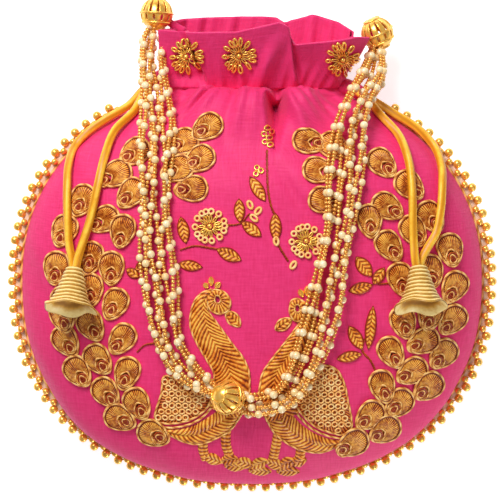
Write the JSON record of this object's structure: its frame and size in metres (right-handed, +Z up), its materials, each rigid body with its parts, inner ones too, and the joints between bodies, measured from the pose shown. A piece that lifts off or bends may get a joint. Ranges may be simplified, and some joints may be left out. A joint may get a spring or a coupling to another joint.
{
  "type": "potli bag",
  "caption": "Round drawstring pouch bag of pink silk lying on its back, with beaded edge trim, drawstrings ending in bells, and a beaded strand handle with filigree balls.",
  "frame": {"origin": "centre of the bag's footprint, on the floor it lies on", "axes": "+Z up from the floor through the front panel, +Y towards the mouth, +X to the right seen from above"},
  "size_m": [0.2362, 0.2409, 0.0849],
  "materials": {
    "silk": "magenta-pink dupion silk with a soft sheen",
    "lining": "plain woven cotton lining",
    "satin_cord": "twisted gold satin cord",
    "gold_yarn": "pale gold wound yarn",
    "gilt": "polished gilt beads and filigree",
    "pearl": "cream imitation pearl beads"
  },
  "bodies": {
    "bag": {"front_panel": "silk", "back_panel": "silk", "front_lining": "lining", "back_lining": "lining", "bead_trim": "gilt", "left_channel_cord": "satin_cord", "right_channel_cord": "satin_cord", "left_cord_outer": "satin_cord", "left_cord_inner": "satin_cord", "right_cord_outer": "satin_cord", "right_cord_inner": "satin_cord", "left_bell": "gold_yarn", "right_bell": "gold_yarn", "left_tab": "silk", "right_tab": "silk"},
    "handle": {"left_end_ball": "gilt", "right_end_ball": "gilt", "middle_ball": "gilt", "left_strand_1": "pearl", "left_strand_2": "pearl", "left_strand_3": "pearl", "left_strand_4": "pearl", "left_strand_5": "pearl", "left_strand_6": "pearl", "left_strand_7": "pearl", "left_strand_8": "pearl", "right_strand_1": "pearl", "right_strand_2": "pearl", "right_strand_3": "pearl", "right_strand_4": "pearl", "right_strand_5": "pearl", "right_strand_6": "pearl", "right_strand_7": "pearl", "right_strand_8": "pearl"}
  },
  "joints": [
    {"name": "handle_swing", "type": "hinge", "parent": "bag", "child": "handle", "pos_m": [0.0072, 0.1077, 0.018], "axis": [-0.9961, 0.088, 0], "range_deg": [0, 150]}
  ]
}
